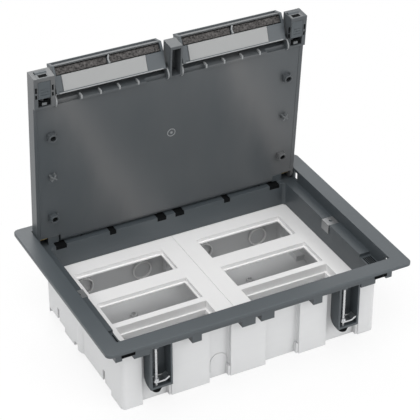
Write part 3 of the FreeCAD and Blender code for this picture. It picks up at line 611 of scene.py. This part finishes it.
class FLOORBOX_OT_foam_seals(bpy.types.Operator):
    """Model the foam seals that the cables press into"""
    bl_idname = "floorbox.foam_seals"
    bl_label = "Foam seals"

    ROWS = (192.3, 200.9)
    DEPTHS = (FLAP_DEPTH, 2.6)
    HALF_GAP = 1.3                  # room on each side for the divider
    LEAN = (1.4, 2.2)               # how far the inner free edge leans in and up
    VOXEL = 0.9
    CELL = 2.2

    def execute(self, context):
        for side in SIDES:
            low, high = (corner.x for corner in node_box("flap_foam_" + side))
            middle = (low + high) / 2
            for number, ends in enumerate(((low, middle - self.HALF_GAP), (middle + self.HALF_GAP, high))):
                piece = self.strip("foam_seal_%s_%d" % (side, number + 1), ends)
                self.soften(piece, context.scene.floor_box_sizes.foam_swell)
                dress(onto_flap(piece), "foam_seal", "flap_" + side)
                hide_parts("flap_foam_" + side)
        return {"FINISHED"}

    def strip(self, name, ends):
        """One length of foam: its free edge leans in from the inner face."""
        piece = lid_block(name, ends, self.ROWS, self.DEPTHS)
        middle_y = row(sum(self.ROWS) / 2)
        middle_z = LID_TOP - sum(self.DEPTHS) / 2
        pick(piece)
        bpy.ops.object.mode_set(mode="EDIT")
        bpy.ops.mesh.select_mode(type="EDGE")
        bpy.ops.mesh.select_all(action="DESELECT")
        bpy.ops.object.mode_set(mode="OBJECT")
        for edge in piece.data.edges:
            corners = [piece.data.vertices[index].co / MM for index in edge.vertices]
            edge.select = all(corner.y < middle_y and corner.z < middle_z for corner in corners)
        bpy.ops.object.mode_set(mode="EDIT")
        bpy.ops.transform.translate(value=Vector((0, *self.LEAN)) * MM)
        bpy.ops.object.mode_set(mode="OBJECT")
        return piece

    def soften(self, piece, swell):
        """Rounds the strip and roughens its faces with open cells."""
        use_modifier(piece, "REMESH", mode="VOXEL", voxel_size=self.VOXEL * MM)
        use_modifier(piece, "SMOOTH", factor=0.5, iterations=4)
        texture = bpy.data.textures.new(piece.name + "_cells", "CLOUDS")
        texture.noise_scale = self.CELL * MM
        use_modifier(piece, "DISPLACE", texture=texture, texture_coords="LOCAL", strength=swell, mid_level=0.6)


class FLOORBOX_OT_lid_fittings(bpy.types.Operator):
    """Add the screw sleeves, finned pegs, edge beads and gate mark of the lid's inner face"""
    bl_idname = "floorbox.lid_fittings"
    bl_label = "Lid fittings"

    INNER_FACE = LID_TOP - LID_DEPTH
    FITTING_X = 134.3
    SLEEVE_ROWS = (("hinge", 30.5), ("edge", 131.5))
    PEG_ROW = 82.5
    PEG_TURN = math.pi / 5
    GATE_ROW = 98.0
    BEAD_X = 148.5
    BEAD = (8.0, 168.0), (LID_DEPTH + 0.3, LID_DEPTH - 0.2)
    MOUTH_HEIGHT = 3.7              # of the screw mouth's dark ring of painted shade, over the inner face

    def execute(self, context):
        for side, sign in SIDES.items():
            x = sign * self.FITTING_X
            for end, distance in self.SLEEVE_ROWS:
                self.sleeve("screw_sleeve_%s_%s" % (side, end), Vector((x, row(distance), self.INNER_FACE)))
            self.peg("peg_" + side, (x, row(self.PEG_ROW), self.INNER_FACE))
            bead = lid_block("edge_bead_" + side, span(sign * self.BEAD_X, 1.0), *self.BEAD, edge=0.12)
            dress(onto_lid(bead), "graphite_lid", "lid")
        self.gate_mark((0.0, row(self.GATE_ROW), self.INNER_FACE))
        return {"FINISHED"}

    def sleeve(self, name, place):
        """A hollow collar round a screw boss, with four short buttresses."""
        collar = cup("collar", outer=4.5, inner=3.1, height=6.2, depth=2.4, edge=0.25)
        parts = [place_at(collar, place, UPSIDE_DOWN)]
        for quarter in range(4):
            web = block("web", span(0, 1.2), (3.6, 6.2), (0, 3.2), edge=0.2)
            parts.append(place_at(web, place, (math.pi, 0, math.pi / 4 + quarter * math.pi / 2)))
        dress(onto_lid(join(parts, name)), "graphite_lid", "lid")
        # painted shade: a dark ring stands for the shade inside the screw's hole
        mouth = cup(name + "_mouth", outer=2.9, inner=2.2, height=0.5, depth=0.2)
        place_at(mouth, place - Vector((0, 0, self.MOUTH_HEIGHT)), UPSIDE_DOWN)
        dress(onto_lid(mouth), "black_and_painted_shade", "lid")

    def peg(self, name, place):
        """A crossed peg that grips the lid's liner, in a dim painted highlight."""
        parts = []
        for turn in (0.0, math.pi / 2):
            fin = block("fin", span(0, 1.4), span(0, 8.4), (0, 5.6), edge=0.3)
            parts.append(place_at(fin, place, (math.pi, 0, turn + self.PEG_TURN)))
        dress(onto_lid(join(parts, name)), "dim_painted_highlight", "lid")

    def gate_mark(self, place):
        """The ring and nub left round the moulding's gate."""
        ring = hoop("gate_ring", 4.3, 0.42, around=64)
        nub = cup("gate_nub", outer=1.4, inner=0.7, height=0.4, depth=0.2, edge=0.1)
        parts = [place_at(part, place, UPSIDE_DOWN) for part in (ring, nub)]
        # painted highlight: the gate mark is made lighter than the lid
        dress(onto_lid(join(parts, "gate_mark")), "painted_highlight", "lid")


class FLOORBOX_OT_bay_ribs(bpy.types.Operator):
    """Add the painted highlights on the edges of the ribs along the flaps' hinges, and of the ears that carry
    the flaps
    """
    bl_idname = "floorbox.bay_ribs"
    bl_label = "Bay ribs"

    FIRST_RIBS = {"left": -101.8, "right": 36.8}
    RIB_COUNT = 4
    RIB_STEP = 20.7
    RIB_WIDTH = 1.7
    RIB = (169.4, 173.5), (16.95, 10.7)
    EARS = (-128.7, -6.0, 9.9, 132.6)
    EAR_ROW = 171.2
    EAR_DEPTH = 10.3

    def execute(self, context):
        for side, first in self.FIRST_RIBS.items():
            ribs = [lid_block("rib", span(first + count * self.RIB_STEP, self.RIB_WIDTH), *self.RIB, edge=0.12)
                    for count in range(self.RIB_COUNT)]
            dress(onto_lid(join(ribs, "bay_ribs_" + side)), "painted_highlight", "lid")
        for number, x in enumerate(self.EARS):
            self.ear_edge("ear_edge_%d" % (number + 1), x)
        return {"FINISHED"}

    def ear_edge(self, name, x):
        """The round edge of one ear, in a painted highlight."""
        edge = place_at(hoop(name, 6.3, 0.75, across=10), (0, 0, 0), (0, math.pi / 2, 0))
        cut_away(edge, (0, 0, -1.5), (0, 0, 1))
        place_at(edge, (x, row(self.EAR_ROW), LID_TOP - self.EAR_DEPTH))
        dress(onto_lid(edge), "painted_highlight", "lid")


class FLOORBOX_OT_latch_trim(bpy.types.Operator):
    """Put dark pieces of painted shade into the latch guides and outline the latches' ends"""
    bl_idname = "floorbox.latch_trim"
    bl_label = "Latch trim"

    LATCH_X = 141.3
    SLOT_REACH = (7.85, 9.75)       # from the latch's middle
    SLOT_ROWS = ((187.6, 193.9), (181.1, 185.4))
    SLOT_DEPTHS = (16.5, 15.8)
    POCKET = (170.6, 176.5), (14.8, 14.4)
    CATCH = (171.8, 174.6), (16.2, 14.8)
    PAD_DEPTH = 12.4

    def execute(self, context):
        for side, sign in SIDES.items():
            middle = sign * self.LATCH_X
            # dark pieces of painted shade in the slots and the pocket of each latch guide
            shade_pieces = []
            for flank in (-1, 1):
                ends = [middle + flank * reach for reach in self.SLOT_REACH]
                for rows in self.SLOT_ROWS:
                    shade_pieces.append(lid_block("slot_painted_shade", ends, rows, self.SLOT_DEPTHS, edge=0.1))
            shade_pieces.append(lid_block("pocket_painted_shade", span(middle, 13.4), *self.POCKET, edge=0.1))
            dress(onto_lid(join(shade_pieces, "latch_painted_shade_" + side)), "black_and_painted_shade", "lid")
            # the catch is a small block in a dim painted highlight
            catch = lid_block("latch_catch_" + side, span(middle, 5.2), *self.CATCH, edge=0.4)
            dress(onto_lid(catch), "dim_painted_highlight", "lid")
            self.pad(middle, side)
        return {"FINISHED"}

    def pad(self, middle, side):
        """The outlined pad over the latch guide on the lid's free edge, in a dim painted highlight, and the
        painted shade of the recess in it.
        """
        place = (middle, row(FREE_EDGE_ROW), LID_TOP - self.PAD_DEPTH)
        pad = tray("latch_pad_" + side, span(0, 13.2), span(0, 8.4), (-0.4, 0.22), wall=1.3, depth=0.2,
                   edge=0.1)
        dress(onto_lid(place_at(pad, place, FACING_FRONT)), "dim_painted_highlight", "lid")
        # painted shade in the pad's recess
        inset = tray("latch_inset_" + side, span(0, 8.8), span(0, 4.8), (0, 0.12), wall=0.9, depth=0.05)
        dress(onto_lid(place_at(inset, place, FACING_FRONT)), "black_and_painted_shade", "lid")


class FLOORBOX_OT_base_details(bpy.types.Operator):
    """Add the raised knock-out rings and the ribs at the recesses' feet"""
    bl_idname = "floorbox.base_details"
    bl_label = "Base details"

    RING_PLACES = (-104.5, -35.5, 39.0, 107.0)
    RING_RADIUS = 10.3
    RING_INSET = 4.3                # from the base's back face to the ring's middle
    RING_HEIGHT = 18.5
    RING_RISE = 1.6                 # how much deeper than round its section is
    RIB_PLACES = (-92.1, -25.6, 53.4, 124.4)
    RIB_WIDTH = 3.0

    def execute(self, context):
        low, high = node_box("base_box")
        for number, x in enumerate(self.RING_PLACES):
            ring = hoop("knockout_ring_%d" % (number + 1), self.RING_RADIUS, 0.85, around=64)
            ring.scale = (1.0, 1.0, self.RING_RISE)
            place_at(ring, (x, high.y - self.RING_INSET, self.RING_HEIGHT), FACING_FRONT)
            # painted highlight: the rings wear the frames' white, lighter than the base, for the light their
            # tops catch
            dress(ring, "white_moulding", "housing")
        for number, x in enumerate(self.RIB_PLACES):
            rib = block("foot_rib_%d" % (number + 1), span(x, self.RIB_WIDTH), (low.y + 0.9, low.y + 6.4),
                        (0.3, 12.5), edge=0.6)
            dress(rib, "light_grey_moulding", "housing")
        return {"FINISHED"}


class FLOORBOX_OT_frame_details(bpy.types.Operator):
    """Add the grip ribs on the lid seat, the keeper slots and dark plugs in the slots as painted shade, and
    the clamp screws' feet
    """
    bl_idname = "floorbox.frame_details"
    bl_label = "Frame details"

    SEAT = LID_TOP - 17.3
    GRIP_COUNT = 5
    GRIP_X = 142.6                  # middle of the first grip rib
    GRIP_STEP = 2.1
    GRIP_Y = (-91.0, -70.0)
    KEEPER_PLACE = (142.0, -105.5, 77.6)
    SHADE_PLUGS = ((10.7, 10.6), (68.2, 7.4), (127.5, 12.1))      # middle and width
    PLUG_Y = (91.1, 101.9)
    PLUG_Z = (75.3, 79.3)
    FOOT_RADII = (4.3, 5.9)
    FOOT_HEIGHT = 4.2

    def execute(self, context):
        for side, sign in SIDES.items():
            ribs = [block("rib", span(sign * (self.GRIP_X + count * self.GRIP_STEP), 1.1), self.GRIP_Y,
                          (self.SEAT - 0.1, self.SEAT + 0.4), edge=0.15)
                    for count in range(self.GRIP_COUNT)]
            dress(join(ribs, "seat_grip_" + side), "black_and_painted_shade", "housing")
            # painted shade: a dark tray stands for the keeper slot's shaded hollow
            slot = tray("keeper_slot_" + side, span(0, 14.4), span(0, 5.0), (0, 0.8), wall=0.7, depth=0.6,
                        edge=0.15)
            x, y, z = self.KEEPER_PLACE
            dress(place_at(slot, (sign * x, y, z), FACING_FRONT), "black_and_painted_shade", "housing")
            for end, outward in ENDS.items():
                self.foot("%s_%s" % (end, side), outward)
            # dark plugs of painted shade in the frame's slots
            shade_plugs = [block("plug", span(sign * x, width), self.PLUG_Y, self.PLUG_Z, edge=0.1)
                     for x, width in self.SHADE_PLUGS]
            dress(join(shade_plugs, "slot_painted_shade_" + side), "black_and_painted_shade", "housing")
        return {"FINISHED"}

    def foot(self, corner, outward):
        """A black foot round the channel's nose under a clamp screw."""
        low, high = node_box("clamp_screw_" + corner)
        middle = (low + high) / 2
        tip, brim = self.FOOT_RADII
        start_clean()
        bpy.ops.mesh.primitive_cone_add(vertices=48, radius1=tip * MM, radius2=brim * MM,
                                        depth=self.FOOT_HEIGHT * MM)
        foot = named(bpy.context.object, "screw_foot_" + corner)
        place_at(foot, (middle.x, middle.y, low.z + 2.0))
        cut_away(foot, (0, middle.y + outward * tip, 0), (0, outward, 0))
        dress(rounded(foot, 0.3), "black_and_painted_shade", "housing")


class FLOORBOX_OT_stage(bpy.types.Operator):
    """Set the camera, the soft lamps and the pale floor"""
    bl_idname = "floorbox.stage"
    bl_label = "Stage"

    SENSOR_WIDTH = 36.0
    # name, place, width and power: a key from above left, a fill from the right and one from behind
    LAMPS = (("key", (-0.9, -0.6, 2.0), 1.8, 26.0), ("fill", (1.3, -1.8, 1.0), 2.0, 20.0),
             ("back", (0.4, 1.9, 1.7), 1.6, 16.0))
    AIM = Vector((0.0, 0.0, 0.08))
    FLOOR_SIZE = 8.0
    FLOOR_DROP = 0.0004
    SHADOW_REACH = (0.18, 0.30)     # where the floor's shadow starts to fade, and where it has gone
    SHADOW_LEAST = 0.80             # how white the floor is kept under the box

    def execute(self, context):
        self.camera(context.scene)
        self.lamps()
        self.floor()
        self.world(context.scene)
        context.scene.view_settings.view_transform = "Standard"
        return {"FINISHED"}

    def camera(self, scene):
        stage = scene.floor_box_stage
        start_clean()
        bpy.ops.object.camera_add(location=stage.camera_place, rotation=stage.camera_turn)
        camera = bpy.context.object
        camera.data.lens = stage.focal_length
        camera.data.sensor_width = self.SENSOR_WIDTH
        camera.data.clip_end = 20.0
        scene.camera = camera

    def lamps(self):
        for name, place, width, power in self.LAMPS:
            start_clean()
            turn = (self.AIM - Vector(place)).to_track_quat("-Z", "Y").to_euler()
            bpy.ops.object.light_add(type="AREA", location=place, rotation=turn)
            lamp = bpy.context.object
            lamp.name = "lamp_" + name
            lamp.data.shape = "DISK"
            lamp.data.size = width
            lamp.data.energy = power

    def floor(self):
        """A pale floor that is seen as white, but for the object's shadow near it."""
        start_clean()
        bpy.ops.mesh.primitive_plane_add(size=self.FLOOR_SIZE, location=(0.0, 0.0, -self.FLOOR_DROP))
        floor = bpy.context.object
        floor.name = "stage_floor"
        settle(floor)
        paint = new_paint("stage_floor")
        paint.finish(Base_Color=(0.9, 0.9, 0.9, 1.0), Roughness=0.9)
        surface = Socket(paint, paint.tree.nodes["Principled BSDF"].outputs[0])
        backdrop = paint.node("ShaderNodeEmission", {}, {"Color": (1.0, 1.0, 1.0, 1.0), "Strength": 1.0})
        distance = paint.node("ShaderNodeVectorMath", {"operation": "LENGTH"}, [paint.place()], "Value")
        near, far = self.SHADOW_REACH
        white = paint.node("ShaderNodeMapRange", {}, {"Value": distance, "From Min": near, "From Max": far,
                                                       "To Min": self.SHADOW_LEAST, "To Max": 1.0})
        mixed = paint.node("ShaderNodeMixShader", {}, [paint.seen_rays() * white, surface, backdrop])
        paint.plug(paint.tree.nodes["Material Output"].inputs["Surface"], mixed)
        floor.data.materials.append(paint.owner)

    def world(self, scene):
        """Even light from all round, with a plain white background."""
        scene.world = bpy.data.worlds.new("studio")
        paint = Paint(scene.world)
        white = (1.0, 1.0, 1.0, 1.0)
        surround = scene.floor_box_stage.surround
        light, backdrop = (paint.node("ShaderNodeBackground", {}, {"Color": white, "Strength": strength})
                           for strength in (surround, 1.0))
        mixed = paint.node("ShaderNodeMixShader", {}, [paint.seen_rays(), light, backdrop])
        paint.plug(paint.tree.nodes["World Output"].inputs["Surface"], mixed)


class FLOORBOX_PT_panel(bpy.types.Panel):
    """Lists the steps that dress the floor box"""
    bl_idname = "FLOORBOX_PT_panel"
    bl_label = "Floor box"
    bl_space_type = "VIEW_3D"
    bl_region_type = "UI"
    bl_category = "Floor box"

    def draw(self, context):
        for step in STEPS:
            self.layout.operator(step.bl_idname)


STEPS = (FLOORBOX_OT_stage, FLOORBOX_OT_finishes, FLOORBOX_OT_cable_flaps, FLOORBOX_OT_foam_seals,
         FLOORBOX_OT_lid_fittings, FLOORBOX_OT_bay_ribs, FLOORBOX_OT_latch_trim, FLOORBOX_OT_base_details,
         FLOORBOX_OT_frame_details)
GROUPS = (("floor_box_finish", FloorBoxFinish), ("floor_box_sizes", FloorBoxSizes),
          ("floor_box_stage", FloorBoxStage))


def register():
    for name, group in GROUPS:
        bpy.utils.register_class(group)
        setattr(bpy.types.Scene, name, PointerProperty(type=group))
    for step in STEPS + (FLOORBOX_PT_panel,):
        bpy.utils.register_class(step)


def unregister():
    for step in reversed(STEPS + (FLOORBOX_PT_panel,)):
        bpy.utils.unregister_class(step)
    for name, group in reversed(GROUPS):
        delattr(bpy.types.Scene, name)
        bpy.utils.unregister_class(group)


def main():
    register()
    bpy.ops.floorbox.stage()
    bpy.ops.floorbox.finishes()
    bpy.ops.floorbox.cable_flaps()
    bpy.ops.floorbox.foam_seals()
    bpy.ops.floorbox.lid_fittings()
    bpy.ops.floorbox.bay_ribs()
    bpy.ops.floorbox.latch_trim()
    bpy.ops.floorbox.base_details()
    bpy.ops.floorbox.frame_details()


if __name__ == "__main__":
    main()
